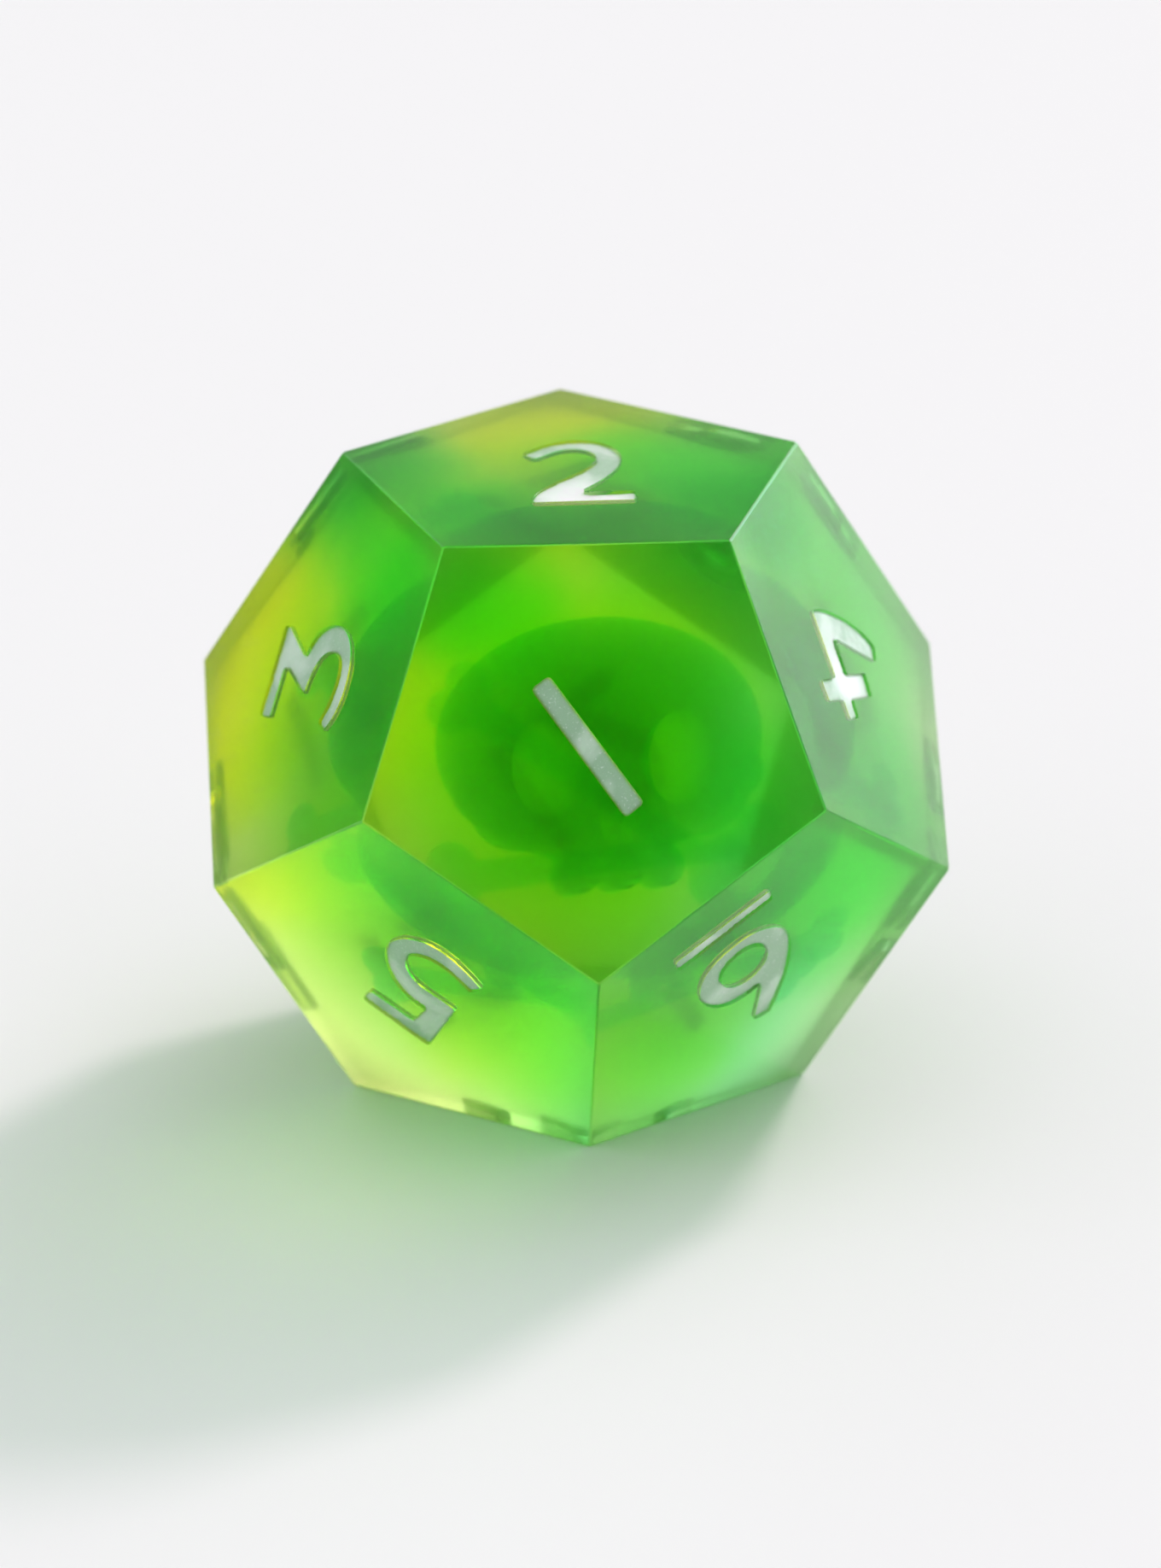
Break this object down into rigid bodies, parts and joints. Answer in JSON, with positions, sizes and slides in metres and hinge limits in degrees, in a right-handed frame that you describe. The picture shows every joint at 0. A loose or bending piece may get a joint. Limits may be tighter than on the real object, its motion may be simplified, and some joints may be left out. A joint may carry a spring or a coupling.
{
  "type": "twelve-sided game die",
  "caption": "Sharp-edged dodecahedral game die in clear green and yellow resin, with engraved painted figures and a skull with crossed bones cast inside.",
  "frame": {"origin": "centre of the die, where the axes of all faces meet", "axes": "+Z out of face 2, which is on top; the die rests on face 11; face 1 looks towards -Y and 26.565 degrees up"},
  "size_m": [0.0234, 0.0246, 0.02],
  "materials": {
    "clear_resin": "polished clear casting resin with yellow and green pigment swirls",
    "insert_resin": "translucent dark green casting",
    "paint": "satin silver-white acrylic paint, brushed into the engraving"
  },
  "bodies": {
    "root": {"resin_body": "clear_resin", "skull": "insert_resin", "crossbone_front": "insert_resin", "crossbone_rear": "insert_resin", "numeral_1": "paint", "numeral_2": "paint", "numeral_3": "paint", "numeral_4": "paint", "numeral_5": "paint", "numeral_6": "paint", "numeral_7": "paint", "numeral_8": "paint", "numeral_9": "paint", "underline_6": "paint", "underline_9": "paint", "numeral_10_one": "paint", "numeral_10_zero": "paint", "numeral_11_first_one": "paint", "numeral_11_second_one": "paint", "numeral_12_one": "paint", "numeral_12_two": "paint"}
  },
  "joints": []
}
